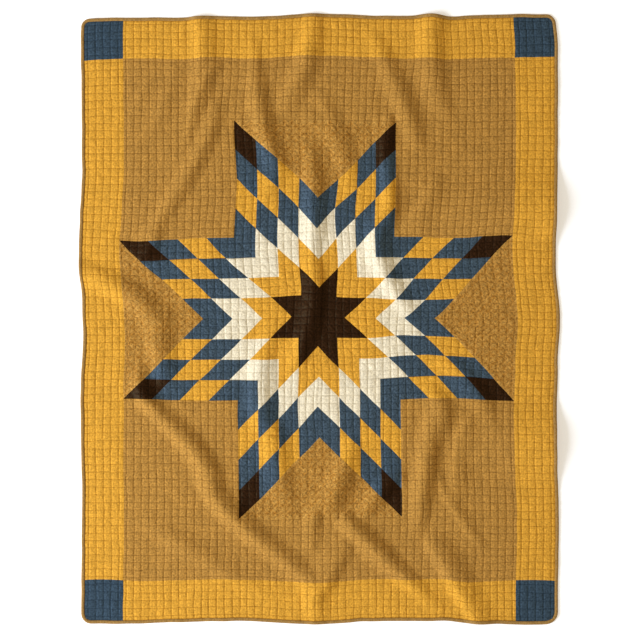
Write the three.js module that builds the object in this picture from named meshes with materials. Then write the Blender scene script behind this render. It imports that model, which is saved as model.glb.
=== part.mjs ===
// A star quilt blanket lying on a floor: a quilted field, four border strips, four corner squares and a
// binding. Millimetres, +Z up, +Y towards the head of the quilt, origin under the middle of the quilt.
import * as THREE from 'three';

// Cut sizes of the quilt
const QUILT_WIDTH = 1397;
const QUILT_LENGTH = 1778;
const BORDER_DEPTH = 123;
const BINDING_WIDTH = 9.5;
const CORNER_RADII = { left_top: 22, right_top: 26, left_bottom: 30, right_bottom: 36 };
const PIECE_GAP = 0.3;

// Quilted cloth: thin along the sewn lines, thick in the puffs between them.
// One raised square stands for two stitched squares each way.
const STITCH_PITCH = 22.2;
const PUFF_SPAN = 2 * STITCH_PITCH;
const SEWN_THICKNESS = 2.6;
const PUFF_THICKNESS = 5.4;
const LEAST_BEND = 0.5;

// Section of the binding: depth in from the outer edge, and height over the floor side of the cloth
const BINDING_SECTION = [
  { depth: 1.6, height: 0 },
  { depth: 0, height: 2.4 },
  { depth: 1.8, height: 5.2 },
  { depth: 7.0, height: 5.2 },
  { depth: BINDING_WIDTH - PIECE_GAP, height: 3.4 },
  { depth: BINDING_WIDTH - PIECE_GAP, height: 0 },
];
const ARC_STEPS = 4;

// How far each edge lies outside the straight cut, at places along it
const EDGES = {
  left: [
    { at: 848, out: 0 }, { at: 453, out: -3 }, { at: 189, out: 6 }, { at: 42, out: -3 },
    { at: -45, out: -6 }, { at: -221, out: 3 }, { at: -529, out: -3 }, { at: -851, out: 0 },
  ],
  right: [
    { at: 889, out: -8 }, { at: 790, out: 0 }, { at: 497, out: 0 }, { at: 306, out: -6 },
    { at: 160, out: -6 }, { at: 0, out: 6 }, { at: -119, out: 0 }, { at: -382, out: -3 },
    { at: -587, out: 3 }, { at: -851, out: 0 },
  ],
  top: [
    { at: 690, out: 5 }, { at: 587, out: 6 }, { at: 388, out: 0 }, { at: 324, out: 6 }, { at: 236, out: 0 },
    { at: -28, out: 6 }, { at: -204, out: -3 }, { at: -315, out: 0 }, { at: -423, out: -6 },
    { at: -643, out: -6 }, { at: -698, out: -10 },
  ],
  bottom: [
    { at: 681, out: 6 }, { at: 637, out: 8 }, { at: 456, out: 3 }, { at: 368, out: -6 }, { at: 192, out: -6 },
    { at: -28, out: 3 }, { at: -248, out: -6 }, { at: -643, out: 3 },
  ],
};

// Folds, one a row: the crest runs from, by and to three places, rises to a height,
// and falls to the floor over a reach on its west and its east side.
const FOLDS = {
  top_left_pleat: { from: [-411, 1056], by: [-346, 793], to: [-397, 552], rise: 12, west: 38, east: 67 },
  top_left_crease: { from: [-283, 754], by: [-344, 685], to: [-395, 505], rise: 11, west: 26, east: 40 },
  upper_left_ripple: { from: [-491, 725], by: [-524, 650], to: [-546, 604], rise: 3, west: 24, east: 26 },
  upper_left_wave: { from: [-419, 768], by: [-455, 626], to: [-531, 521], rise: 4, west: 32, east: 44 },
  left_shoulder: { from: [-304, 654], by: [-361, 466], to: [-571, 152], rise: 13, west: 42, east: 41 },
  left_shoulder_foot: {
    from: [-466, 286], by: [-498, 210], to: [-544, 155], rise: 11, west: 36, east: 38,
  },
  second_pleat: { from: [-195, 840], by: [-164, 560], to: [-83, 415], rise: 16, west: 46, east: 48 },
  second_pleat_tail: {
    from: [-184, 488], by: [-132, 440], to: [-180, 326], rise: 10, west: 55, east: 47,
  },
  third_pleat: { from: [-22, 963], by: [-43, 749], to: [-131, 604], rise: 16, west: 49, east: 58 },
  pleat_over_the_star: { from: [-17, 681], by: [61, 509], to: [89, 360], rise: 9, west: 43, east: 55 },
  star_top_crinkle: { from: [-62, 589], by: [25, 550], to: [94, 391], rise: 6, west: 38, east: 51 },
  centre_crease_head: { from: [-30, 534], by: [-18, 335], to: [-28, 135], rise: 17, west: 42, east: 51 },
  centre_crease_foot: { from: [-29, 210], by: [-22, 35], to: [-89, -175], rise: 20, west: 48, east: 52 },
  long_pleat_top: { from: [207, 619], by: [197, 540], to: [192, 451], rise: 12, west: 30, east: 31 },
  long_pleat_head: { from: [160, 628], by: [203, 351], to: [159, 240], rise: 15, west: 35, east: 44 },
  long_pleat_foot: { from: [252, 375], by: [165, 218], to: [297, -20], rise: 19, west: 45, east: 57 },
  right_pleat: { from: [143, 860], by: [240, 640], to: [296, 486], rise: 14, west: 49, east: 54 },
  top_right_pleat: { from: [390, 1074], by: [325, 808], to: [382, 577], rise: 16, west: 60, east: 58 },
  right_shoulder: { from: [340, 428], by: [313, 343], to: [238, 252], rise: 12, west: 36, east: 79 },
  left_edge_lift: { from: [-845, 182], by: [-537, 62], to: [-523, -57], rise: 16, west: 53, east: 59 },
  left_edge_tail: { from: [-445, 45], by: [-476, -61], to: [-431, -223], rise: 15, west: 45, east: 71 },
  left_point_crease: {
    from: [-526, -124], by: [-514, -228], to: [-429, -285], rise: 15, west: 37, east: 41,
  },
  diagonal_head: { from: [-576, -192], by: [-350, -406], to: [-325, -535], rise: 18, west: 43, east: 52 },
  diagonal_middle: { from: [-356, -410], by: [-256, -576], to: [53, -809], rise: 18, west: 43, east: 56 },
  diagonal_foot: { from: [-139, -724], by: [-27, -781], to: [-24, -967], rise: 11, west: 47, east: 58 },
  lower_left_pleat: { from: [-132, 3], by: [-177, -242], to: [-90, -365], rise: 15, west: 53, east: 58 },
  lower_left_foot: {
    from: [-142, -341], by: [-133, -383], to: [-84, -594], rise: 13, west: 65, east: 58,
  },
  lower_middle_pleat: { from: [109, -342], by: [53, -480], to: [17, -581], rise: 20, west: 53, east: 60 },
  short_diagonal: { from: [60, -576], by: [132, -643], to: [369, -866], rise: 18, west: 49, east: 48 },
  short_cross_fold: { from: [116, -578], by: [9, -782], to: [-32, -803], rise: 13, west: 88, east: 44 },
  lower_right_pleat: {
    from: [300, -200], by: [356, -287], to: [278, -429], rise: 15, west: 71, east: 52,
  },
  lower_right_foot: { from: [328, -269], by: [312, -417], to: [282, -642], rise: 19, west: 47, east: 49 },
  lower_right_ripple: {
    from: [485, -297], by: [413, -337], to: [396, -594], rise: 10, west: 26, east: 66,
  },
  right_point_fold: { from: [342, -110], by: [458, -213], to: [534, -400], rise: 11, west: 57, east: 47 },
  bottom_edge_fold: {
    from: [308, -633], by: [383, -746], to: [532, -1015], rise: 16, west: 38, east: 76,
  },
  upper_right_lift: { from: [271, 310], by: [729, 320], to: [983, 234], rise: 22, west: 95, east: 120 },
  lower_right_lift: {
    from: [341, -344], by: [745, -362], to: [962, -354], rise: 22, west: 120, east: 120,
  },
  bottom_left_ripple: {
    from: [-526, -580], by: [-365, -684], to: [-111, -837], rise: 7, west: 46, east: 55,
  },
  lower_middle_foot: { from: [63, -501], by: [-9, -556], to: [-18, -699], rise: 10, west: 42, east: 37 },
  short_rising_fold: {
    from: [109, -606], by: [183, -492], to: [254, -458], rise: 16, west: 47, east: 37,
  },
  lower_right_crease: {
    from: [329, -433], by: [406, -572], to: [490, -678], rise: 6, west: 24, east: 37,
  },
};
const CREST_STEPS = 20;
const foldList = Object.values(FOLDS);

// Cloth colours
const CLOTHS = {
  tan: { color: 0xb4843c, roughness: 0.95 },
  gold: { color: 0xdba037, roughness: 0.95 },
  blue: { color: 0x384956, roughness: 0.95 },
  binding: { color: 0xa17c44, roughness: 0.95 },
};

const halfWidth = QUILT_WIDTH / 2;
const halfLength = QUILT_LENGTH / 2;

// Smooth value between the rows of one edge's table
function edgeOut(rows, at) {
  if (at >= rows[0].at) return rows[0].out;
  for (let k = 1; k < rows.length; k += 1) {
    if (at >= rows[k].at) {
      const share = (rows[k - 1].at - at) / (rows[k - 1].at - rows[k].at);
      const ease = 0.5 - 0.5 * Math.cos(Math.PI * share);
      return rows[k - 1].out + (rows[k].out - rows[k - 1].out) * ease;
    }
  }
  return rows[rows.length - 1].out;
}

// One at an edge, fading to nothing at the middle of the quilt
function edgeShare(inward, half) {
  return 0.5 + 0.5 * Math.cos(Math.PI * THREE.MathUtils.clamp(inward / half, 0, 1));
}

// Where a place on the flat cut quilt lies on the floor
function lay(u, v) {
  const left = edgeOut(EDGES.left, v) * edgeShare(halfWidth + u, halfWidth);
  const right = edgeOut(EDGES.right, v) * edgeShare(halfWidth - u, halfWidth);
  const top = edgeOut(EDGES.top, u) * edgeShare(halfLength - v, halfLength);
  const bottom = edgeOut(EDGES.bottom, u) * edgeShare(halfLength + v, halfLength);
  return [u + right - left, v + top - bottom];
}

// Crest line of a fold as points along a smooth curve through its three places
function crestLine(fold) {
  const from = new THREE.Vector2(...fold.from);
  const to = new THREE.Vector2(...fold.to);
  const pull = new THREE.Vector2(...fold.by).multiplyScalar(2).sub(from.clone().add(to).multiplyScalar(0.5));
  return new THREE.QuadraticBezierCurve(from, pull, to).getPoints(CREST_STEPS);
}
const crests = foldList.map(crestLine);

// Height of one fold over a place: a round crest that grows lower and narrower towards both ends
function foldHeight(fold, crest, x, y) {
  let nearest = Infinity;
  let along = 0;
  let side = 0;
  for (let k = 0; k < CREST_STEPS; k += 1) {
    const dx = crest[k + 1].x - crest[k].x;
    const dy = crest[k + 1].y - crest[k].y;
    const px = x - crest[k].x;
    const py = y - crest[k].y;
    const share = THREE.MathUtils.clamp((px * dx + py * dy) / (dx * dx + dy * dy), 0, 1);
    const away = Math.hypot(px - share * dx, py - share * dy);
    if (away < nearest) {
      nearest = away;
      along = (k + share) / CREST_STEPS;
      side = dx * py - dy * px;
    }
  }
  const taper = 1 - (2 * along - 1) ** 2;
  const reach = (side > 0 ? fold.east : fold.west) * (0.6 + 0.4 * taper);
  if (nearest >= reach) return 0;
  return fold.rise * taper * (0.5 + 0.5 * Math.cos(Math.PI * nearest / reach));
}

// Height of the underside of the cloth over the floor; folds that meet blend together
function underside(x, y) {
  let sum = 0;
  foldList.forEach((fold, k) => {
    sum += foldHeight(fold, crests[k], x, y) ** 2;
  });
  return Math.sqrt(sum);
}

// Upright thickness that keeps a thickness square to the slope
function upright(thickness, x, y) {
  const step = 2;
  const slopeX = (underside(x + step, y) - underside(x - step, y)) / (2 * step);
  const slopeY = (underside(x, y + step) - underside(x, y - step)) / (2 * step);
  return thickness * Math.sqrt(1 + slopeX * slopeX + slopeY * slopeY);
}

// Even lines from one seam to the next, about one puff apart
function divide(from, to) {
  const count = Math.round((to - from) / PUFF_SPAN);
  return Array.from({ length: count + 1 }, (_, k) => from + (to - from) * k / count);
}

// The same lines with half a gap kept at a seam
function seamed(lines, atStart, atEnd) {
  const cut = lines.slice();
  cut[0] += atStart ? PIECE_GAP / 2 : 0;
  cut[cut.length - 1] -= atEnd ? PIECE_GAP / 2 : 0;
  return cut;
}

const sideSeam = halfWidth - BORDER_DEPTH;
const endSeam = halfLength - BORDER_DEPTH;
const columns = {
  left: divide(-halfWidth + BINDING_WIDTH, -sideSeam),
  middle: divide(-sideSeam, sideSeam),
  right: divide(sideSeam, halfWidth - BINDING_WIDTH),
};
const rows = {
  bottom: divide(-halfLength + BINDING_WIDTH, -endSeam),
  middle: divide(-endSeam, endSeam),
  top: divide(endSeam, halfLength - BINDING_WIDTH),
};

// Places on a quarter circle round an outer corner of the quilt, running anticlockwise
function cornerArc(signU, signV, depth) {
  const places = [];
  const radius = CORNER_RADII[`${signU > 0 ? 'right' : 'left'}_${signV > 0 ? 'top' : 'bottom'}`];
  const first = Math.atan2(signV, signU) - Math.PI / 4;
  for (let k = 0; k <= ARC_STEPS; k += 1) {
    const angle = first + Math.PI / 2 * k / ARC_STEPS;
    places.push([
      signU * (halfWidth - radius) + (radius - depth) * Math.cos(angle),
      signV * (halfLength - radius) + (radius - depth) * Math.sin(angle),
    ]);
  }
  return places;
}

function solid(positions, triangles) {
  const geometry = new THREE.BufferGeometry();
  geometry.setAttribute('position', new THREE.Float32BufferAttribute(positions, 3));
  geometry.setIndex(triangles);
  geometry.computeVertexNormals();
  return geometry;
}

// A quilted panel over a grid of puffs; rounded gives the signs of the corner that is cut round
function quiltedPanel(uLines, vLines, rounded) {
  const positions = [];
  const triangles = [];
  const known = new Map();
  const rim = new Map();

  // Adds a point of the underside and, next in the list, the point of the face over it
  function addPair(u, v, thickness) {
    const [x, y] = lay(u, v);
    const floorSide = underside(x, y);
    positions.push(x, y, floorSide);
    positions.push(x, y, floorSide + upright(thickness, x, y));
    return positions.length / 3 - 2;
  }

  function sewnPair([u, v]) {
    const key = `${u.toFixed(3)} ${v.toFixed(3)}`;
    if (!known.has(key)) known.set(key, addPair(u, v, SEWN_THICKNESS));
    return known.get(key);
  }

  // Outline of a puff; a side between two puffs has one more place halfway where a fold bends it
  function puffOutline(i, j) {
    const outline = [];
    const corners = [[0, 0], [1, 0], [1, 1], [0, 1]].map(([a, b]) => [uLines[i + a], vLines[j + b]]);
    const shared = [j > 0, i + 2 < uLines.length, j + 2 < vLines.length, i > 0];
    corners.forEach(([u, v], k) => {
      const atCorner = rounded
        && u === uLines[rounded[0] > 0 ? uLines.length - 1 : 0]
        && v === vLines[rounded[1] > 0 ? vLines.length - 1 : 0];
      if (atCorner) outline.push(...cornerArc(rounded[0], rounded[1], BINDING_WIDTH));
      else outline.push([u, v]);
      const [nextU, nextV] = corners[(k + 1) % corners.length];
      const halfway = [(u + nextU) / 2, (v + nextV) / 2];
      const level = (underside(...lay(u, v)) + underside(...lay(nextU, nextV))) / 2;
      const bend = Math.abs(underside(...lay(...halfway)) - level);
      if (shared[k] && bend > LEAST_BEND) outline.push(halfway);
    });
    return outline;
  }

  for (let i = 0; i + 1 < uLines.length; i += 1) {
    for (let j = 0; j + 1 < vLines.length; j += 1) {
      const pairs = puffOutline(i, j).map(sewnPair);
      const middleU = (uLines[i] + uLines[i + 1]) / 2;
      const middleV = (vLines[j] + vLines[j + 1]) / 2;
      const middle = addPair(middleU, middleV, PUFF_THICKNESS);
      const level = pairs.reduce((sum, pair) => sum + positions[3 * pair + 2], 0) / pairs.length;
      const bent = pairs.length > 4 || Math.abs(positions[3 * middle + 2] - level) > LEAST_BEND;
      pairs.forEach((pair, k) => {
        const next = pairs[(k + 1) % pairs.length];
        triangles.push(middle + 1, pair + 1, next + 1);
        if (bent) triangles.push(middle, next, pair);
        else if (k > 0 && k + 1 < pairs.length) triangles.push(pairs[0], next, pair);
        rim.set(`${pair} ${next}`, [pair, next]);
      });
    }
  }
  rim.forEach(([pair, next]) => {
    if (rim.has(`${next} ${pair}`)) return;
    triangles.push(pair, next, next + 1);
    triangles.push(pair, next + 1, pair + 1);
  });
  return solid(positions, triangles);
}

// Stops round the quilt, anticlockwise: each gives the place at a depth in from the outer edge
function bindingStops() {
  const stops = [];
  const along = (lines) => [...new Set(lines.flat())];
  const uAll = along([columns.left.slice(1), columns.middle, columns.right.slice(0, -1)]);
  const vAll = along([rows.bottom.slice(1), rows.middle, rows.top.slice(0, -1)]);
  function turn(signU, signV) {
    for (let k = 0; k <= ARC_STEPS; k += 1) stops.push((depth) => cornerArc(signU, signV, depth)[k]);
  }
  uAll.forEach((u) => stops.push((depth) => [u, -halfLength + depth]));
  turn(1, -1);
  vAll.forEach((v) => stops.push((depth) => [halfWidth - depth, v]));
  turn(1, 1);
  uAll.reverse().forEach((u) => stops.push((depth) => [u, halfLength - depth]));
  turn(-1, 1);
  vAll.reverse().forEach((v) => stops.push((depth) => [-halfWidth + depth, v]));
  turn(-1, -1);
  return stops;
}

// The binding strip: its section carried round the edge of the quilt
function bindingRing() {
  const positions = [];
  const triangles = [];
  const stops = bindingStops();
  const sides = BINDING_SECTION.length;
  stops.forEach((place) => {
    BINDING_SECTION.forEach(({ depth, height }) => {
      const [x, y] = lay(...place(depth));
      positions.push(x, y, underside(x, y) + upright(height, x, y));
    });
  });
  stops.forEach((_, s) => {
    const here = s * sides;
    const there = ((s + 1) % stops.length) * sides;
    for (let k = 0; k < sides; k += 1) {
      const next = (k + 1) % sides;
      triangles.push(here + k, there + k, there + next);
      triangles.push(here + k, there + next, here + next);
    }
  });
  return solid(positions, triangles);
}

const quilt = new THREE.Group();

function addPiece(name, geometry, cloth) {
  const mesh = new THREE.Mesh(geometry, new THREE.MeshStandardMaterial({ ...cloth, metalness: 0 }));
  mesh.name = name;
  quilt.add(mesh);
}

const fieldColumns = seamed(columns.middle, true, true);
const fieldRows = seamed(rows.middle, true, true);
const leftColumns = seamed(columns.left, false, true);
const rightColumns = seamed(columns.right, true, false);
const bottomRows = seamed(rows.bottom, false, true);
const topRows = seamed(rows.top, true, false);

addPiece('field', quiltedPanel(fieldColumns, fieldRows), CLOTHS.tan);
addPiece('border_top', quiltedPanel(fieldColumns, topRows), CLOTHS.gold);
addPiece('border_bottom', quiltedPanel(fieldColumns, bottomRows), CLOTHS.gold);
addPiece('border_left', quiltedPanel(leftColumns, fieldRows), CLOTHS.gold);
addPiece('border_right', quiltedPanel(rightColumns, fieldRows), CLOTHS.gold);
addPiece('corner_top_left', quiltedPanel(leftColumns, topRows, [-1, 1]), CLOTHS.blue);
addPiece('corner_top_right', quiltedPanel(rightColumns, topRows, [1, 1]), CLOTHS.blue);
addPiece('corner_bottom_left', quiltedPanel(leftColumns, bottomRows, [-1, -1]), CLOTHS.blue);
addPiece('corner_bottom_right', quiltedPanel(rightColumns, bottomRows, [1, -1]), CLOTHS.blue);
addPiece('binding', bindingRing(), CLOTHS.binding);

// The middle of the whole quilt lies over the origin
const box = new THREE.Box3().setFromObject(quilt);
const middle = box.getCenter(new THREE.Vector3());
quilt.position.set(-middle.x, -middle.y, 0);

export default quilt;
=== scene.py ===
"""A star quilt blanket lying face up on a pale floor, seen from straight above."""

import math

import bmesh
import bpy
import numpy as np
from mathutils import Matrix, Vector


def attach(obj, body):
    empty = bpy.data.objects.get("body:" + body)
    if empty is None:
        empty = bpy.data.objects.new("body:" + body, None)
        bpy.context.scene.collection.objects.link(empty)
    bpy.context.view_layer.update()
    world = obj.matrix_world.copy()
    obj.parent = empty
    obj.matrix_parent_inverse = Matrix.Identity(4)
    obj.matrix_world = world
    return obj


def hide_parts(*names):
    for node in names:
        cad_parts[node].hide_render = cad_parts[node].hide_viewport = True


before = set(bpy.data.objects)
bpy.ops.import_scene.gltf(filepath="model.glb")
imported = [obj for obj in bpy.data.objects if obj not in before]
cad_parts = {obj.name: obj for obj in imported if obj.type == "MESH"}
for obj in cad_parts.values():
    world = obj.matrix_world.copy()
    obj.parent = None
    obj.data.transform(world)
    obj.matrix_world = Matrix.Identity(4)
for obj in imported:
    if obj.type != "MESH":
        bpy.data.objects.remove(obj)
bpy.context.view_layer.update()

MM = 0.001

# Cut sizes of the quilt, in metres
WIDTH = 1397 * MM
LENGTH = 1778 * MM
BORDER_DEPTH = 123 * MM
BINDING_WIDTH = 9.5 * MM
CORNER_RADII = {(-1, 1): 22 * MM, (1, 1): 26 * MM, (-1, -1): 30 * MM, (1, -1): 36 * MM}
HALF_W = WIDTH / 2
HALF_L = LENGTH / 2
SIDE_SEAM = HALF_W - BORDER_DEPTH
END_SEAM = HALF_L - BORDER_DEPTH

# The star: eight points of four by four diamonds, as wide as the field
POINTS = 8
DIAMONDS = 4
STAR_REACH = SIDE_SEAM / math.cos(math.pi / POINTS)
POINT_SIDE = STAR_REACH / 2 / math.cos(math.pi / POINTS)
DIAMOND_SIDE = POINT_SIDE / DIAMONDS
RING_CLOTHS = ["brown", "gold", "cream", "blue", "gold", "blue", "brown"]

# Quilting: squares across and along inside the binding, and the lines of the net in each square,
# as shares of it from a sewn line
SQUARES_ACROSS = 62
SQUARES_ALONG = 79
NET = [-0.5, -0.28, -0.055, 0, 0.055, 0.28]
PITCH_U = 2 * (HALF_W - BINDING_WIDTH) / SQUARES_ACROSS
PITCH_V = 2 * (HALF_L - BINDING_WIDTH) / SQUARES_ALONG
WANDER = 1.7 * MM
SEWN_THICKNESS = 2.6 * MM
CROWN = 1.4 * MM
SEAM_DIP = 0.8 * MM
TUCK = 5 * MM
SWELL = 0.9 * MM
BACK_DRAW = 0.9 * MM
CLOTH_SHIFT = 1.1 * MM
STITCH_STEP = 4.45 * MM
STITCH_LENGTH = 3.7 * MM
THREAD_WIDTH = 0.6 * MM
BINDING_STEP = 4 * MM
CORNER_STEPS = 12

# How far each edge lies outside the straight cut: (place along it, distance), in millimetres
EDGES = {
    "left": [(-851, 0), (-529, -3), (-221, 3), (-45, -6), (42, -3), (189, 6), (453, -3), (848, 0)],
    "right": [(-851, 0), (-587, 3), (-382, -3), (-119, 0), (0, 6), (160, -6), (306, -6), (497, 0),
              (790, 0), (889, -8)],
    "top": [(-698, -10), (-643, -6), (-423, -6), (-315, 0), (-204, -3), (-28, 6), (236, 0), (324, 6),
            (388, 0), (587, 6), (690, 5)],
    "bottom": [(-643, 3), (-248, -6), (-28, 3), (192, -6), (368, -6), (456, 3), (637, 8), (681, 6)],
}

# Places on the flat quilt that the folds have drawn aside: (across, along, right, up, spread),
# in millimetres
PULLS = {
    "centre": (0, 40, -2, 8, 130),
    "left of the centre": (-65, 65, 8, 4, 60),
    "right of the centre": (75, 40, -8, -2, 60),
    "below the centre, right": (40, -80, -5, 1, 60),
    "above the centre": (-40, 375, 2, 15, 115),
    "above the centre, right": (55, 300, -11, 3, 60),
    "upper right": (235, 240, -17, 2, 108),
    "top right point": (220, 560, -13, 2, 100),
    "top right point, inner end": (215, 430, -6, 6, 70),
    "right upper point": (440, 175, -8, -1, 90),
    "right upper tip": (540, 235, -3, 8, 50),
    "top left point": (-230, 560, -12, 9, 100),
    "upper left": (-240, 230, -10, -1, 90),
    "left upper point": (-530, 215, -6, -8, 90),
    "left": (-370, 0, -6, 2, 90),
    "left lower point": (-385, -120, -5, 0, 50),
    "left lower tip": (-560, -235, 5, 7, 90),
    "lower left": (-195, -520, 3, -14, 95),
    "below the centre": (-20, -262, -6, 2, 45),
    "bottom, inner corner": (0, -350, 1, -8, 80),
    "bottom right point": (200, -505, 3, -8, 100),
    "right lower point": (300, -125, -3, 12, 85),
    "right lower point, outer end": (430, -175, -3, 8, 80),
    "right of the star's middle": (250, -50, -5, 6, 45),
    "right, inner corner": (265, 45, 0, -6, 55),
    "right lower tip": (590, -300, -5, 0, 100),
    "top seam, left": (-520, 766, 1, 5, 70),
    "top seam, right": (330, 766, 0, -6, 70),
    "bottom seam, left": (-645, -766, 1, 8, 62),
    "bottom seam, right": (615, -766, -1, 11, 75),
    "top right corner": (580, 770, -3, -5, 60),
}

# Folds: the crest runs from, by and to three places, then its rise and its reach west and east,
# all in millimetres
FOLDS = {
    "top left pleat": ((-411, 1056), (-346, 793), (-397, 552), 12, 38, 67),
    "top left crease": ((-283, 754), (-344, 685), (-395, 505), 11, 26, 40),
    "upper left ripple": ((-491, 725), (-524, 650), (-546, 604), 3, 24, 26),
    "upper left wave": ((-419, 768), (-455, 626), (-531, 521), 4, 32, 44),
    "left shoulder": ((-304, 654), (-361, 466), (-571, 152), 13, 42, 41),
    "left shoulder foot": ((-466, 286), (-498, 210), (-544, 155), 11, 36, 38),
    "second pleat": ((-195, 840), (-164, 560), (-83, 415), 16, 46, 48),
    "second pleat tail": ((-184, 488), (-132, 440), (-180, 326), 10, 55, 47),
    "third pleat": ((-22, 963), (-43, 749), (-131, 604), 16, 49, 58),
    "pleat over the star": ((-17, 681), (61, 509), (89, 360), 9, 43, 55),
    "star top crinkle": ((-62, 589), (25, 550), (94, 391), 6, 38, 51),
    "centre crease head": ((-30, 534), (-18, 335), (-28, 135), 17, 42, 51),
    "centre crease foot": ((-29, 210), (-22, 35), (-89, -175), 20, 48, 52),
    "long pleat top": ((207, 619), (197, 540), (192, 451), 12, 30, 31),
    "long pleat head": ((160, 628), (203, 351), (159, 240), 15, 35, 44),
    "long pleat foot": ((252, 375), (165, 218), (297, -20), 19, 45, 57),
    "right pleat": ((143, 860), (240, 640), (296, 486), 14, 49, 54),
    "top right pleat": ((390, 1074), (325, 808), (382, 577), 16, 60, 58),
    "right shoulder": ((340, 428), (313, 343), (238, 252), 12, 36, 79),
    "left edge lift": ((-845, 182), (-537, 62), (-523, -57), 16, 53, 59),
    "left edge tail": ((-445, 45), (-476, -61), (-431, -223), 15, 45, 71),
    "left point crease": ((-526, -124), (-514, -228), (-429, -285), 15, 37, 41),
    "diagonal head": ((-576, -192), (-350, -406), (-325, -535), 18, 43, 52),
    "diagonal middle": ((-356, -410), (-256, -576), (53, -809), 18, 43, 56),
    "diagonal foot": ((-139, -724), (-27, -781), (-24, -967), 11, 47, 58),
    "lower left pleat": ((-132, 3), (-177, -242), (-90, -365), 15, 53, 58),
    "lower left foot": ((-142, -341), (-133, -383), (-84, -594), 13, 65, 58),
    "lower middle pleat": ((109, -342), (53, -480), (17, -581), 20, 53, 60),
    "short diagonal": ((60, -576), (132, -643), (369, -866), 18, 49, 48),
    "short cross fold": ((116, -578), (9, -782), (-32, -803), 13, 88, 44),
    "lower right pleat": ((300, -200), (356, -287), (278, -429), 15, 71, 52),
    "lower right foot": ((328, -269), (312, -417), (282, -642), 19, 47, 49),
    "lower right ripple": ((485, -297), (413, -337), (396, -594), 10, 26, 66),
    "right point fold": ((342, -110), (458, -213), (534, -400), 11, 57, 47),
    "bottom edge fold": ((308, -633), (383, -746), (532, -1015), 16, 38, 76),
    "upper right lift": ((271, 310), (729, 320), (983, 234), 25, 125, 150),
    "lower right lift": ((341, -344), (745, -362), (962, -354), 25, 150, 150),
    "bottom left ripple": ((-526, -580), (-365, -684), (-111, -837), 7, 46, 55),
    "lower middle foot": ((63, -501), (-9, -556), (-18, -699), 10, 42, 37),
    "short rising fold": ((109, -606), (183, -492), (254, -458), 16, 47, 37),
    "lower right crease": ((329, -433), (406, -572), (490, -678), 6, 24, 37),
}
CREST_STEPS = 20

# Narrow creases pressed into the folds: from, by and to, then the depth and the reach west and east,
# in millimetres
CREASES = {
    "centre": ((9, 262), (9, 100), (9, -62), 3.2, 7, 34),
    "below the centre": ((-34, 24), (-35, -120), (-36, -264), 2.6, 6, 24),
    "beside the long pleat": ((229, 585), (230, 400), (230, 240), 2.8, 6, 20),
}


# The lie of the cloth

def noise(x, y, seed):
    """Smooth noise from -1 to 1, with its bumps about one unit apart. Each use has its own seed."""
    table = np.random.default_rng(seed).uniform(-1, 1, (256, 256))
    i, j = np.floor(x).astype(int), np.floor(y).astype(int)
    a, b = x - i, y - j
    a, b = a * a * (3 - 2 * a), b * b * (3 - 2 * b)
    low = table[i & 255, j & 255] * (1 - a) + table[(i + 1) & 255, j & 255] * a
    high = table[i & 255, (j + 1) & 255] * (1 - a) + table[(i + 1) & 255, (j + 1) & 255] * a
    return low * (1 - b) + high * b


def edge_out(side, at):
    """How far an edge lies outside the straight cut, eased between the rows of its table."""
    places, outs = np.array(EDGES[side], float).T * MM
    k = np.clip(np.searchsorted(places, at) - 1, 0, len(places) - 2)
    share = np.clip((at - places[k]) / (places[k + 1] - places[k]), 0, 1)
    return outs[k] + (outs[k + 1] - outs[k]) * (0.5 - 0.5 * np.cos(np.pi * share))


def edge_share(inward, half):
    """One at an edge, fading to nothing at the middle of the quilt."""
    return 0.5 + 0.5 * np.cos(np.pi * np.clip(inward / half, 0, 1))


def lay(u, v):
    """Where a place on the flat quilt lies on the floor."""
    x = u + edge_out("right", v) * edge_share(HALF_W - u, HALF_W)
    x = x - edge_out("left", v) * edge_share(HALF_W + u, HALF_W)
    y = v + edge_out("top", u) * edge_share(HALF_L - v, HALF_L)
    y = y - edge_out("bottom", u) * edge_share(HALF_L + v, HALF_L)
    for across, along, right, up, spread in PULLS.values():
        gap = (u - across * MM) ** 2 + (v - along * MM) ** 2
        weight = np.exp(-gap / (2 * (spread * MM) ** 2)) * MM
        x = x + right * weight
        y = y + up * weight
    x = x + CLOTH_SHIFT * noise(u / (40 * MM), v / (40 * MM), 11)
    y = y + CLOTH_SHIFT * noise(u / (40 * MM), v / (40 * MM), 12)
    return x, y


def fold_height(row, x, y):
    """Height of one fold: a round crest, lower and narrower towards both ends."""
    start, by, end = (np.array(p, float) * MM for p in row[:3])
    rise, west, east = (size * MM for size in row[3:])
    t = np.linspace(0, 1, CREST_STEPS + 1)[:, None]
    pull = 2 * by - (start + end) / 2
    crest = (1 - t) ** 2 * start + 2 * t * (1 - t) * pull + t**2 * end
    reach = max(west, east)
    low, high = crest.min(0) - reach, crest.max(0) + reach
    near = np.flatnonzero((x > low[0]) & (x < high[0]) & (y > low[1]) & (y < high[1]))
    height = np.zeros_like(x)
    if not len(near):
        return height
    best = np.full(len(near), np.inf)
    along = np.zeros(len(near))
    side = np.zeros(len(near))
    for k in range(CREST_STEPS):
        d = crest[k + 1] - crest[k]
        px, py = x[near] - crest[k, 0], y[near] - crest[k, 1]
        share = np.clip((px * d[0] + py * d[1]) / (d @ d), 0, 1)
        away = np.hypot(px - share * d[0], py - share * d[1])
        closer = away < best
        best = np.where(closer, away, best)
        along = np.where(closer, (k + share) / CREST_STEPS, along)
        side = np.where(closer, d[0] * py - d[1] * px, side)
    taper = 1 - (2 * along - 1) ** 2
    reach = np.where(side > 0, east, west) * (0.6 + 0.4 * taper)
    profile = 0.5 + 0.5 * np.cos(np.pi * np.clip(best / reach, 0, 1))
    height[near] = rise * taper * profile
    return height


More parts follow.
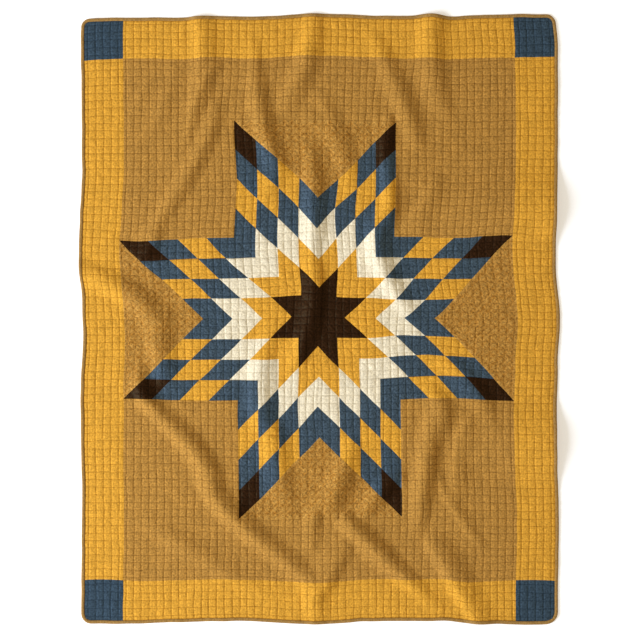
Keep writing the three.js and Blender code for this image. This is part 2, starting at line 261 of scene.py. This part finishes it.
def underside(x, y):
    """Height of the back of the cloth over the floor; folds that meet blend together."""
    folds = np.sqrt(sum(fold_height(row, x, y) ** 2 for row in FOLDS.values()))
    return np.maximum(folds - sum(fold_height(row, x, y) for row in CREASES.values()), 0)


def swell(x, y):
    """Soft unevenness of the wadding, in bumps about 80 mm apart."""
    return SWELL * (1 + noise(x / (70 * MM), y / (90 * MM), 24))


def from_rim(p, q):
    """Distance in from the binding, in sewn squares."""
    return np.minimum(SQUARES_ACROSS / 2 - np.abs(p), SQUARES_ALONG / 2 - np.abs(q))


def net_place(p, q):
    """Where a place in the net of sewn squares is on the flat quilt: hand-sewn lines wander."""
    slack = WANDER * np.clip(from_rim(p, q) / 1.5, 0, 1)
    u = p * PITCH_U + slack * (noise(p / 1.3, q / 3.1, 13) + 0.35 * noise(p / 0.9, q / 0.8, 14))
    v = q * PITCH_V + slack * (noise(p / 3.1, q / 1.3, 15) + 0.35 * noise(p / 0.8, q / 0.9, 16))
    return u, v


def crown_share(p, q):
    """Nothing on the sewn lines, one in the middle of each puff."""
    a = 1 - np.abs(2 * (p - np.floor(p)) - 1)
    b = 1 - np.abs(2 * (q + 0.5 - np.floor(q + 0.5)) - 1)
    return (1 - a**9) * (1 - b**9) * np.clip(from_rim(p, q) / 0.3, 0, 1)


def bias_shade_share(p, q):
    """Mask for the painted shade on cloth cut on the bias: one in the middle of each puff, high where sewn
    lines cross, lowest midway along each sewn line.
    """
    a, b = np.cos(2 * np.pi * p), -np.cos(2 * np.pi * q)
    return 0.5 + (2.5 * (a + b) + 8 * a * b) / 28


def star_place(u, v):
    """Which star point's sector a place is in, and its distances along that point's two sides."""
    sector = np.floor(np.arctan2(v, u) / (2 * np.pi / POINTS)).astype(int) % POINTS
    turn = sector * 2 * np.pi / POINTS
    side = 2 * np.pi / POINTS
    a = (u * np.sin(turn + side) - v * np.cos(turn + side)) / np.sin(side)
    b = (v * np.cos(turn) - u * np.sin(turn)) / np.sin(side)
    return sector, a, b


def seam_gap(u, v):
    """Distance to the nearest seam of the patchwork that shows, or to the binding."""
    gap = np.minimum(np.abs(np.abs(u) - SIDE_SEAM), np.abs(np.abs(v) - END_SEAM))
    gap = np.minimum(gap, np.minimum(HALF_W - np.abs(u), HALF_L - np.abs(v)) - BINDING_WIDTH)
    _, a, b = star_place(u, v)
    slack = 0.1 * MM
    inside = (a < POINT_SIDE + slack) & (b < POINT_SIDE + slack)
    across = np.minimum(*(np.abs(t - np.round(t / DIAMOND_SIDE) * DIAMOND_SIDE) for t in (a, b)))
    return np.where(inside, np.minimum(gap, across * np.sin(2 * np.pi / POINTS)), gap)


def bias_share(u, v):
    """One on the four setting triangles, which are cut on the bias, fading at their seams."""
    _, a, b = star_place(u, v)
    rim = SIDE_SEAM - np.maximum(np.abs(u), np.abs(v))
    rim = np.minimum(rim, POINT_SIDE * math.sin(math.pi / 4) - np.minimum(np.abs(u), np.abs(v)))
    rim = np.minimum(rim, (np.maximum(a, b) - POINT_SIDE) * math.sin(2 * math.pi / POINTS))
    return np.clip(rim / (6 * MM), 0, 1)


def face(u, v, p, q):
    """The face of the quilt, as x, y and z, over a place on the flat quilt and in the sewn net."""
    x, y = lay(u, v)
    slack = bias_share(u, v)
    squares = noise(np.floor(p + 0.5) + 0.5, np.floor(q) + 0.5, 21)
    crown = crown_share(p, q)
    rising, falling = (u + v) / MM, (u - v) / MM
    bias = noise(rising / 11, falling / 26, 22) + noise(falling / 11, rising / 26, 23)
    crinkle = noise(u / MM / 10, v / MM / 13, 25) + noise(u / MM / 19, v / MM / 15, 26)
    z = underside(x, y) + SEWN_THICKNESS + CROWN * crown * (1 + 0.4 * squares) * (1 - 0.3 * slack)
    z = z + (0.5 * (1 + slack) * bias + 0.6 * crinkle) * MM * (0.3 + 0.7 * crown)
    z = z + swell(x, y) - SEAM_DIP * np.exp(-((seam_gap(u, v) / (2 * MM)) ** 2))
    return x, y, z


# Materials

def linear(code):
    """Linear colour of an sRGB hex code."""
    parts = [int(code[k:k + 2], 16) / 255 for k in (1, 3, 5)]
    return tuple(c / 12.92 if c <= 0.04045 else ((c + 0.055) / 1.055) ** 2.4 for c in parts) + (1,)


def node(tree, kind, links=(), sockets=(), **settings):
    """Adds a node with its settings, its socket values and its incoming links."""
    made = tree.nodes.new(kind)
    for name, value in settings.items():
        setattr(made, name, value)
    for name, value in dict(sockets).items():
        made.inputs[name].default_value = value
    for name, source in dict(links).items():
        tree.links.new(source, made.inputs[name])
    return made


def new_material(name):
    """An empty material and its node tree."""
    material = bpy.data.materials.new(name)
    material.use_nodes = True
    tree = material.node_tree
    tree.nodes.clear()
    return material, tree


def cotton(name, code, bias, groove_shade_factor, grain, full=0.5, shine=0.12, rough=0.95, tint="#ffffff"):
    """Washed plain-weave cotton: a soft dry face, flecked by uneven yarn, with painted shade along the
    sewn lines, darker and deeper in colour in the grooves there, and finely crinkled by washing. Dark
    cloth is smoother and takes a dull tinted light on the slopes that face the window."""
    material, tree = new_material(name)
    base = linear(code)[:3]
    # Painted shade: the colour in the grooves along the sewn lines, darker than the cloth and deeper in
    # colour, as where light bounces between the groove's walls
    groove_shade_colour = [c * groove_shade_factor * (c / max(base)) ** 0.3 for c in base]
    flat = node(tree, "ShaderNodeUVMap", uv_map="Flat").outputs["UV"]
    turned = node(tree, "ShaderNodeMapping", {"Vector": flat},
                  {"Rotation": (0, 0, math.pi / 4 if bias else 0)}).outputs["Vector"]
    # Uneven yarn: flecks 1.5 mm by 9 mm along each set of threads
    flecks = []
    for scale in ((1 / 0.0015, 1 / 0.009, 1), (1 / 0.009, 1 / 0.0015, 1)):
        along = node(tree, "ShaderNodeMapping", {"Vector": turned}, {"Scale": scale})
        flecks.append(node(tree, "ShaderNodeTexNoise", {"Vector": along.outputs["Vector"]},
                           {"Scale": 1, "Detail": 2}).outputs["Fac"])
    yarn = node(tree, "ShaderNodeMath", {0: flecks[0], 1: flecks[1]}, operation="ADD")
    # Uneven dye: clouds about 40 mm across
    dye = node(tree, "ShaderNodeTexNoise", {"Vector": flat}, {"Scale": 1 / 0.04, "Detail": 3})
    shade = node(tree, "ShaderNodeMath", {0: yarn.outputs[0], 1: dye.outputs["Fac"]}, operation="ADD")
    shade = node(tree, "ShaderNodeMapRange", {"Value": shade.outputs[0]},
                 {"From Min": 1.1, "From Max": 1.9, "To Min": 0.84, "To Max": 1.16})
    # Mottle: lighter and darker tone at random, in patches about 5 mm across
    mottle = node(tree, "ShaderNodeTexNoise", {"Vector": turned},
                  {"Scale": 1 / 0.0052, "Detail": 2, "Roughness": 0.55})
    mottle = node(tree, "ShaderNodeMapRange", {"Value": mottle.outputs["Fac"]},
                  {"From Min": 0.3, "From Max": 0.7, "To Min": 1 - 2 * grain, "To Max": 1 + 2 * grain})
    shade = node(tree, "ShaderNodeMath", {0: shade.outputs[0], 1: mottle.outputs[0]},
                 operation="MULTIPLY")
    # Painted shade along the sewn lines: the crown attribute is nothing on the lines and one in the puffs,
    # and the colour goes from the painted groove shade there to the cloth's own colour; the strength of
    # the shade varies in clouds about 20 mm across
    crown = node(tree, "ShaderNodeAttribute", attribute_name="crown").outputs["Fac"]
    pull = node(tree, "ShaderNodeTexNoise", {"Vector": flat}, {"Scale": 1 / 0.02, "Detail": 2})
    pull = node(tree, "ShaderNodeMapRange", {"Value": pull.outputs["Fac"]},
                {"From Min": 0.3, "From Max": 0.7, "To Min": 0.5, "To Max": -0.3})
    groove_shade_mask = node(tree, "ShaderNodeMapRange", {"Value": crown, "To Min": pull.outputs[0]},
                   {"From Min": 0.0, "From Max": full, "To Max": 1}, interpolation_type="SMOOTHSTEP")
    tone = node(tree, "ShaderNodeMix", {"Factor": groove_shade_mask.outputs[0]}, data_type="VECTOR",
                clamp_factor=False)
    tone.inputs[4].default_value, tone.inputs[5].default_value = groove_shade_colour, base
    colour = node(tree, "ShaderNodeVectorMath", {0: tone.outputs[1], "Scale": shade.outputs[0]},
                  operation="SCALE")
    # Crinkle: short creases about 6 mm wide, and the weave, coarser than real so that it shows: threads
    # 2.4 mm wide, raised and sunk in turn
    crinkle = node(tree, "ShaderNodeTexNoise", {"Vector": turned},
                   {"Scale": 1 / 0.006, "Detail": 4, "Roughness": 0.6, "Distortion": 0.6})
    weave = node(tree, "ShaderNodeTexWave", {"Vector": turned}, {"Scale": 1 / (0.0024 * 6.28)})
    relief = node(tree, "ShaderNodeMath", {0: weave.outputs["Fac"], 2: crinkle.outputs["Fac"]},
                  {1: 0.12}, operation="MULTIPLY_ADD")
    bump = node(tree, "ShaderNodeBump", {"Height": relief.outputs[0]},
                {"Strength": 0.8, "Distance": 1.6 * MM})
    shader = node(tree, "ShaderNodeBsdfPrincipled",
                  {"Base Color": colour.outputs["Vector"], "Normal": bump.outputs["Normal"]},
                  {"Roughness": rough, "IOR": 1.46, "Specular IOR Level": shine,
                   "Specular Tint": linear(tint)})
    node(tree, "ShaderNodeOutputMaterial", {"Surface": shader.outputs["BSDF"]})
    return material


def thread_cotton(name, code):
    """Two-ply sewing thread: matt, with light and dark turns of its twist."""
    material, tree = new_material(name)
    flat = node(tree, "ShaderNodeUVMap", uv_map="Flat").outputs["UV"]
    twist = node(tree, "ShaderNodeTexNoise", {"Vector": flat}, {"Scale": 1 / 0.002, "Detail": 1})
    shade = node(tree, "ShaderNodeMapRange", {"Value": twist.outputs["Fac"]},
                 {"From Min": 0.3, "From Max": 0.7, "To Min": 0.85, "To Max": 1.15})
    colour = node(tree, "ShaderNodeVectorMath", {"Scale": shade.outputs[0]},
                  {0: linear(code)[:3]}, operation="SCALE")
    shader = node(tree, "ShaderNodeBsdfPrincipled", {"Base Color": colour.outputs["Vector"]},
                  {"Roughness": 0.85, "IOR": 1.46, "Specular IOR Level": 0.25})
    node(tree, "ShaderNodeOutputMaterial", {"Surface": shader.outputs["BSDF"]})
    return material


CLOTHS = {
    "tan": cotton("tan_washed_cotton", "#b4843c", False, 0.5, 0.17),
    "tan bias": cotton("tan_washed_cotton_on_the_bias", "#ba8b42", True, 0.72, 0.24, full=1.0),
    "gold": cotton("gold_washed_cotton", "#dba037", False, 0.52, 0.13),
    "gold bias": cotton("gold_washed_cotton_on_the_bias", "#dea237", True, 0.52, 0.14),
    "blue": cotton("blue_washed_cotton", "#384956", False, 0.5, 0.2),
    "blue bias": cotton("blue_washed_cotton_on_the_bias", "#404f5a", True, 0.5, 0.26,
                        shine=0.13, rough=0.42, tint="#cbe7ff"),
    "cream bias": cotton("cream_washed_cotton_on_the_bias", "#ede0c1", True, 0.74, 0.1),
    "brown bias": cotton("brown_washed_cotton_on_the_bias", "#2e1a0d", True, 0.5, 0.3,
                         shine=0.1, rough=0.42, tint="#ffefa8"),
    "binding": cotton("binding_folded_cotton", "#a17c44", False, 0.9, 0.12),
}
# Quilting thread for each cloth, a darker tone of that cloth: partly the thread's own colour, partly
# painted shade of the groove that each sewn line sinks into
THREADS_AND_GROOVE_SHADE = {
    "tan": thread_cotton("tan_quilting_thread", "#6b4a1c"),
    "gold": thread_cotton("gold_quilting_thread", "#94661d"),
    "blue": thread_cotton("blue_quilting_thread", "#222d38"),
    "cream": thread_cotton("cream_quilting_thread", "#c2b28e"),
    "brown": thread_cotton("brown_quilting_thread", "#1d100a"),
}


# Pieces

def mesh_piece(name, points, loops, starts, flat, crown, materials, slots=None, normals=None):
    """A mesh object from arrays, with the flat cloth's places as one map and a bake map."""
    me = bpy.data.meshes.new(name)
    me.vertices.add(len(points))
    me.vertices.foreach_set("co", np.asarray(points, np.float32).ravel())
    me.loops.add(len(loops))
    me.loops.foreach_set("vertex_index", np.asarray(loops, np.int32))
    me.polygons.add(len(starts))
    me.polygons.foreach_set("loop_start", np.asarray(starts, np.int32))
    for material in materials:
        me.materials.append(material)
    if slots is not None:
        me.polygons.foreach_set("material_index", np.asarray(slots, np.int32))
    me.update(calc_edges=True)
    me.validate()
    me.shade_smooth()
    corners = np.empty(len(me.loops), np.int32)
    me.loops.foreach_get("vertex_index", corners)
    me.uv_layers.new(name="Flat").data.foreach_set("uv", flat[corners].astype(np.float32).ravel())
    low, high = flat.min(0), flat.max(0)
    bake = 0.01 + 0.98 * (flat - low) / (high - low).max()
    me.uv_layers.new(name="OFBake").data.foreach_set("uv", bake[corners].astype(np.float32).ravel())
    # The crown attribute: the mask that the cloths' painted shade along the sewn lines follows
    me.attributes.new("crown", "FLOAT", "POINT").data.foreach_set("value", crown.astype(np.float32))
    if normals is not None:
        me.normals_split_custom_set_from_vertices(normals)
    piece = bpy.data.objects.new(name, me)
    bpy.context.scene.collection.objects.link(piece)
    return piece


def net_lines(squares, pitch):
    """Lines of the net from edge to edge, in squares, with one more tucked under the binding."""
    sewn = np.arange(squares) - squares / 2 + 0.5
    inner = np.append((sewn[:, None] + NET).ravel(), squares / 2)
    tuck = squares / 2 + (BINDING_WIDTH - TUCK) / pitch
    return np.concatenate([[-tuck], inner, [tuck]])


def net_quads(ps, qs):
    """Corners of each square between the lines of a net, anticlockwise."""
    i, j = np.meshgrid(np.arange(len(ps) - 1), np.arange(len(qs) - 1))
    corner = (j * len(ps) + i).ravel()
    return np.stack([corner, corner + 1, corner + len(ps) + 1, corner + len(ps)], 1)


def cut(net, faces, place, direction):
    """Cuts flat faces along a line and returns all of them."""
    parts = {e for f in faces for e in f.edges} | {p for f in faces for p in f.verts}
    normal = (-direction[1], direction[0], 0)
    done = bmesh.ops.bisect_plane(net, geom=list(parts) + list(faces), dist=1e-7,
                                  plane_co=(*place, 0), plane_no=normal)
    return [part for part in done["geom"] if isinstance(part, bmesh.types.BMFace)]


def near_line(net, place, direction, keep=None):
    """Flat faces that a line may cross."""
    reach = 0.25 * PITCH_V
    found = []
    for f in net.faces:
        c = f.calc_center_median()
        off = (c.x - place[0]) * direction[1] - (c.y - place[1]) * direction[0]
        if abs(off) < reach and (keep is None or keep(c)):
            found.append(f)
    return found


def cut_net():
    """The flat quilt as a fine net, cut along the seams of the patchwork."""
    ps, qs = net_lines(SQUARES_ACROSS, PITCH_U), net_lines(SQUARES_ALONG, PITCH_V)
    p, q = (grid.ravel() for grid in np.meshgrid(ps, qs))
    points = np.stack([*net_place(p, q), np.zeros(len(p))], 1)
    flat = bpy.data.meshes.new("flat_net")
    flat.from_pydata(points, [], net_quads(ps, qs))
    for name, values in (("net_p", p), ("net_q", q)):
        flat.attributes.new(name, "FLOAT", "POINT").data.foreach_set("value", values.astype(np.float32))
    net = bmesh.new()
    net.from_mesh(flat)
    for sign in (-1, 1):
        for place, direction in (((sign * SIDE_SEAM, 0), (0, 1)), ((0, sign * END_SEAM), (1, 0)),
                                 ((0, sign * SIDE_SEAM), (1, 0))):
            cut(net, near_line(net, place, direction), place, direction)
    side = 2 * math.pi / POINTS
    for k in range(POINTS // 2):
        ray = (math.cos(k * side), math.sin(k * side))
        faces = near_line(net, (0, 0), ray, lambda c: math.hypot(c.x, c.y) < POINT_SIDE + 10 * MM)
        cut(net, faces, (0, 0), ray)
    net.faces.ensure_lookup_table()
    centres = np.array([f.calc_center_median()[:2] for f in net.faces])
    sector, a, b = star_place(*centres.T)
    inside = (a < POINT_SIDE + 8 * MM) & (b < POINT_SIDE + 8 * MM)
    groups = [[net.faces[int(f)] for f in np.flatnonzero(inside & (sector == k))]
              for k in range(POINTS)]
    for k, faces in enumerate(groups):
        first = (math.cos(k * side), math.sin(k * side))
        second = (math.cos((k + 1) * side), math.sin((k + 1) * side))
        for step in range(1, DIAMONDS + 1):
            out = step * DIAMOND_SIDE
            faces = cut(net, faces, (first[0] * out, first[1] * out), second)
            faces = cut(net, faces, (second[0] * out, second[1] * out), first)
    net.to_mesh(flat)
    net.free()
    return flat


def round_corners(u, v):
    """Draws the rim of the four outer corners in to their round cut."""
    for (side, end), radius in CORNER_RADII.items():
        p = side * u - (HALF_W - radius)
        q = end * v - (HALF_L - radius)
        out = np.hypot(p, q)
        fixed = radius - BINDING_WIDTH - 4 * MM
        both = (p > 0) & (q > 0) & (out > fixed)
        far = radius * out / np.where(both, np.maximum(p, q), 1)
        share = (fixed + (out - fixed) * (radius - fixed) / (far - fixed)) / np.where(both, out, 1)
        u = np.where(both, side * (HALF_W - radius + p * share), u)
        v = np.where(both, end * (HALF_L - radius + q * share), v)
    return u, v


def read(collection, name, width, kind=np.float64):
    """One property of a whole mesh collection, as an array."""
    values = np.empty(len(collection) * width, kind)
    collection.foreach_get(name, values)
    return values.reshape(-1, width) if width > 1 else values


def patch_of(u, v):
    """Name of the sewn piece and of its cloth at a place on the flat quilt."""
    side = ["left", "", "right"][int(np.sign(u)) * (abs(u) > SIDE_SEAM) + 1]
    end = ["bottom", "", "top"][int(np.sign(v)) * (abs(v) > END_SEAM) + 1]
    if side and end:
        return f"corner_square_{end}_{side}", "blue"
    if side or end:
        return f"gold_border_{side or end}", "gold"
    sector, a, b = star_place(u, v)
    if a < POINT_SIDE and b < POINT_SIDE:
        ring = int(a / DIAMOND_SIDE) + int(b / DIAMOND_SIDE)
        return f"star_point_{int(sector) + 1}", RING_CLOTHS[ring] + " bias"
    if abs(v) > SIDE_SEAM:
        return f"tan_strip_{'top' if v > 0 else 'bottom'}", "tan"
    if min(abs(u), abs(v)) > POINT_SIDE * math.sin(math.pi / 4):
        return f"setting_square_{'top' if v > 0 else 'bottom'}_{'right' if u > 0 else 'left'}", "tan"
    if abs(u) > abs(v):
        return f"setting_triangle_{'right' if u > 0 else 'left'}", "tan bias"
    return f"setting_triangle_{'top' if v > 0 else 'bottom'}", "tan bias"


def sew_face():
    """The pieces of the quilt's face, by name."""
    flat = cut_net()
    places = read(flat.vertices, "co", 3)[:, :2]
    p, q = (read(flat.attributes[name].data, "value", 1, np.float32) for name in ("net_p", "net_q"))
    u, v = round_corners(*places.T)
    x, y, z = face(u, v, p, q)
    flat.vertices.foreach_set("co", np.stack([x, y, z], 1).astype(np.float32).ravel())
    flat.update()
    normals = read(flat.vertex_normals, "vector", 3, np.float32)
    slack = bias_share(u, v)
    # Mask for the painted shade along the sewn lines, and on the bias-cut triangles a diamond pattern of
    # painted shade in each puff
    crown = crown_share(p, q) * (1 - slack) + bias_shade_share(p, q) * slack
    starts = read(flat.polygons, "loop_start", 1, np.int32)
    totals = read(flat.polygons, "loop_total", 1, np.int32)
    corners = read(flat.loops, "vertex_index", 1, np.int32)
    centres = np.add.reduceat(places[corners], starts) / totals[:, None]
    patches = [patch_of(*centre) for centre in centres]
    names = np.array([patch[0] for patch in patches])
    cloths = np.array([patch[1] for patch in patches])
    points = np.stack([x, y, z], 1)
    made = {}
    for name in sorted(set(names)):
        chosen = np.flatnonzero(names == name)
        firsts = np.concatenate([[0], np.cumsum(totals[chosen])[:-1]])
        order = np.repeat(starts[chosen] - firsts, totals[chosen]) + np.arange(totals[chosen].sum())
        used, loops = np.unique(corners[order], return_inverse=True)
        kinds = sorted(set(cloths[chosen]))
        slots = np.searchsorted(kinds, cloths[chosen])
        made[name] = mesh_piece(name, points[used], loops, firsts, np.stack([u, v], 1)[used], crown[used],
                                [CLOTHS[kind] for kind in kinds], slots, normals[used])
    bpy.data.meshes.remove(flat)
    return made


def sew_back():
    """The back of the quilt, flat on the floor but for the folds and the drawn-up sewn lines."""
    step = 3
    ps, qs = net_lines(SQUARES_ACROSS, PITCH_U), net_lines(SQUARES_ALONG, PITCH_V)
    ps = np.concatenate([ps[:1], ps[1:-1:step], ps[-1:]])
    qs = np.concatenate([qs[:1], qs[1:-1:step], qs[-1:]])
    p, q = (grid.ravel() for grid in np.meshgrid(ps, qs))
    u, v = round_corners(*net_place(p, q))
    x, y = lay(u, v)
    crown = crown_share(p, q)
    z = underside(x, y) + BACK_DRAW * (1 - crown)
    quads = net_quads(ps, qs)[:, [0, 3, 2, 1]]
    return mesh_piece("quilt_back", np.stack([x, y, z], 1), quads.ravel(), np.arange(len(quads)) * 4,
                      np.stack([u, v], 1), crown, [CLOTHS["tan"]])


def edge_stops(spacing):
    """Places round the outer edge, anticlockwise, with the way inwards at each."""
    outer, inward = [], []
    for turn in range(4):
        angle = (turn - 1) * math.pi / 2
        out = np.array([round(math.cos(angle)), round(math.sin(angle))])
        ahead = np.array([-out[1], out[0]])
        half, far = (HALF_W, HALF_L) if out[0] == 0 else (HALF_L, HALF_W)
        first, last = CORNER_RADII[tuple(out - ahead)], CORNER_RADII[tuple(out + ahead)]
        for t in np.linspace(first - half, half - last, int(2 * half / spacing))[:-1]:
            outer.append(out * far + ahead * t)
            inward.append(-out)
        for t in np.linspace(0, 1, CORNER_STEPS + 1)[:-1]:
            ray = out * math.cos(t * math.pi / 2) + ahead * math.sin(t * math.pi / 2)
            outer.append(out * (far - last) + ahead * (half - last) + ray * last)
            inward.append(-ray)
    return np.array(outer), np.array(inward)


def sew_binding():
    """The binding: a strip folded over the edge from the face to the back."""
    # The folded strip from its sewn edge on the face round to the back: inwards and up, in millimetres
    section = np.array([(9.7, 2.6), (9.3, 3.2), (7.8, 3.8), (5.4, 4.1), (3.2, 4.1), (1.4, 3.6), (0.3, 2.7),
                        (0, 2.0), (0.5, 1.1), (1.8, 0.3), (4.0, 0.05), (9.5, 0.05)]) * MM
    outer, inward = edge_stops(BINDING_STEP)
    count, sides = len(outer), len(section)
    u = outer[:, :1] + inward[:, :1] * section[:, 0]
    v = outer[:, 1:] + inward[:, 1:] * section[:, 0]
    x, y = lay(u.ravel(), v.ravel())
    east, north = x / MM, y / MM
    lumps = 1 + 0.16 * noise(east / 12, north / 12, 31) + 0.1 * noise(east / 50, north / 50, 32)
    rise = np.tile(section[:, 1], count)
    z = underside(x, y) + rise * lumps + swell(x, y) * rise / rise.max()
    i, j = np.meshgrid(np.arange(count), np.arange(sides - 1), indexing="ij")
    here, there = (i * sides + j).ravel(), ((i + 1) % count * sides + j).ravel()
    quads = np.stack([here, there, there + 1, here + 1], 1)
    along = np.concatenate([[0], np.cumsum(np.hypot(*np.diff(outer, axis=0).T))])
    width = np.concatenate([[0], np.cumsum(np.hypot(*np.diff(section, axis=0).T))])
    flat = np.stack([np.repeat(along, sides), np.tile(width, count)], 1)
    piece = mesh_piece("binding_strip", np.stack([x, y, z], 1), quads.ravel(), np.arange(len(quads)) * 4,
                       flat, np.full(len(x), 0.8), [CLOTHS["binding"]])
    piece.data.uv_layers.remove(piece.data.uv_layers["OFBake"])
    return piece, width[-1], along[-1]


def sew_lines(name, across):
    """One running stitch after another along parallel sewn lines, as joined slivers of thread."""
    count, ends = (SQUARES_ALONG, SQUARES_ACROSS) if across else (SQUARES_ACROSS, SQUARES_ALONG)
    step, length, width = (size / PITCH_U for size in (STITCH_STEP, STITCH_LENGTH, THREAD_WIDTH))
    along = np.arange(-ends / 2 + 0.6 * step, ends / 2, step)
    line, place = (grid.ravel() for grid in np.meshgrid(np.arange(count) - count / 2 + 0.5, along))
    place = place + 0.02 * noise(line * 7.3, place * 7.3, 41)
    # Four corners and the raised middle of a sliver: half lengths, half widths and millimetres up
    shape = np.array([(-1, 0, -0.15), (0, -1, 0.0), (1, 0, -0.15), (0, 1, 0.0), (0, 0, 0.42)])
    lengths = length * (1 + 0.25 * noise(line * 5.1, place * 5.1, 42))
    run = (place[:, None] + shape[:, 0] * lengths[:, None] / 2).ravel()
    off = (line[:, None] + shape[:, 1] * width / 2).ravel()
    p, q = (run, off) if across else (off, run)
    u, v = net_place(p, q)
    x, y, z = face(u, v, p, q)
    z = z + np.tile(shape[:, 2], len(line)) * MM
    corner = np.arange(len(line))[:, None] * 5
    ring = [(0, 1, 4), (1, 2, 4), (2, 3, 4), (3, 0, 4)]
    if across:
        triangles = np.concatenate([corner + np.array(r) for r in ring])
    else:
        triangles = np.concatenate([corner + np.array(r)[::-1] for r in ring])
    # Each stitch takes the thread of the cloth under it, a darker tone of that cloth that holds painted
    # groove shade
    shades = [list(THREADS_AND_GROOVE_SHADE).index(patch_of(*place)[1].split()[0]) for place in zip(u[4::5], v[4::5])]
    return mesh_piece(name, np.stack([x, y, z], 1), triangles.ravel(), np.arange(len(triangles)) * 3,
                      np.stack([u, v], 1), np.ones(len(x)), THREADS_AND_GROOVE_SHADE.values(), np.tile(shades, len(ring)))


# The quilt

pieces = sew_face()
back = sew_back()
binding, binding_width, binding_length = sew_binding()
stitches = [sew_lines("stitching_along", False), sew_lines("stitching_across", True)]

# What each kind of piece is cut from: slot, flat width and length, and its share of that rectangle
CUTS = {
    "corner_square": ("blue_cotton", BORDER_DEPTH - TUCK, BORDER_DEPTH - TUCK, 1),
    "gold_border_top": ("gold_cotton", 2 * SIDE_SEAM, BORDER_DEPTH - TUCK, 1),
    "gold_border_bottom": ("gold_cotton", 2 * SIDE_SEAM, BORDER_DEPTH - TUCK, 1),
    "gold_border": ("gold_cotton", BORDER_DEPTH - TUCK, 2 * END_SEAM, 1),
    "star_point": ("tan_cotton", 2 * POINT_SIDE * math.sin(math.pi / POINTS), STAR_REACH, 0.5),
    "tan_strip": ("tan_cotton", 2 * SIDE_SEAM, END_SEAM - SIDE_SEAM, 1),
    "setting_square": ("tan_cotton", POINT_SIDE, POINT_SIDE, 1),
    "setting_triangle": ("tan_cotton", POINT_SIDE, POINT_SIDE, 0.5),
}
for name, piece in pieces.items():
    slot, width, length, share = next(CUTS[key] for key in CUTS if name.startswith(key))
    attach(piece, "root")
    if slot == "tan_cotton":
        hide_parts("field")
    elif slot == "gold_cotton":
        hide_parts(name.replace("gold_", ""))
    else:
        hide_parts(name.replace("_square", ""))
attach(back, "root")
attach(binding, "root")
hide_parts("binding")
for piece in stitches:
    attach(piece, "root")


# Floor, light and camera

def lit_floor():
    """Opal acrylic sheet, lit a little from below: even and white, so that the shadows stay pale."""
    material, tree = new_material("opal_acrylic_floor_sheet")
    place = node(tree, "ShaderNodeTexCoord").outputs["Object"]
    grain = node(tree, "ShaderNodeTexNoise", {"Vector": place}, {"Scale": 3, "Detail": 2})
    ramp = node(tree, "ShaderNodeMapRange", {"Value": grain.outputs["Fac"]},
                {"To Min": 0.93, "To Max": 0.95})
    shader = node(tree, "ShaderNodeBsdfPrincipled", {"Base Color": ramp.outputs[0]},
                  {"Roughness": 0.9, "Specular IOR Level": 0.1, "Emission Color": linear("#fffdfa"),
                   "Emission Strength": 0.345})
    node(tree, "ShaderNodeOutputMaterial", {"Surface": shader.outputs["BSDF"]})
    return material


FLOOR_REACH = 15
FLOOR_LEVEL = -0.4 * MM
floor_mesh = bpy.data.meshes.new("floor")
floor_mesh.from_pydata([(x * FLOOR_REACH, y * FLOOR_REACH, FLOOR_LEVEL)
                        for x, y in ((-1, -1), (1, -1), (1, 1), (-1, 1))], [], [(0, 1, 2, 3)])
floor_mesh.materials.append(lit_floor())
floor = bpy.data.objects.new("floor", floor_mesh)
bpy.context.scene.collection.objects.link(floor)

LIGHT_SIDE = 3.6
LIGHT_POWER = 740
LIGHT_PLACE = (-6.0, -1.9, 3.3)
light = bpy.data.lights.new("window_side_light", "AREA")
light.shape = "SQUARE"
light.size = LIGHT_SIDE
light.energy = LIGHT_POWER
light.color = linear("#e2ecff")[:3]
lamp = bpy.data.objects.new("window_side_light", light)
lamp.location = LIGHT_PLACE
lamp.rotation_euler = (-Vector(LIGHT_PLACE)).to_track_quat("-Z", "Y").to_euler()
bpy.context.scene.collection.objects.link(lamp)

ROOM_LIGHT = 0.5
world = bpy.data.worlds.new("studio")
world.use_nodes = True
room = world.node_tree.nodes["Background"].inputs
room["Color"].default_value = linear("#fff1d6")
room["Strength"].default_value = ROOM_LIGHT
bpy.context.scene.world = world

# The camera: straight above, with each of the frame's 640 pixels 2.93 mm wide on the floor
VIEW_PLACE = (1.5 * MM, -1.5 * MM, 5.0)
FRAME_WIDTH = 640 * 2.93 * MM
SENSOR = 36
camera = bpy.data.cameras.new("camera")
camera.sensor_width = SENSOR
camera.lens = SENSOR * VIEW_PLACE[2] / FRAME_WIDTH
camera_object = bpy.data.objects.new("camera", camera)
camera_object.location = VIEW_PLACE
bpy.context.scene.collection.objects.link(camera_object)
bpy.context.scene.camera = camera_object
bpy.context.scene.view_settings.view_transform = "Standard"
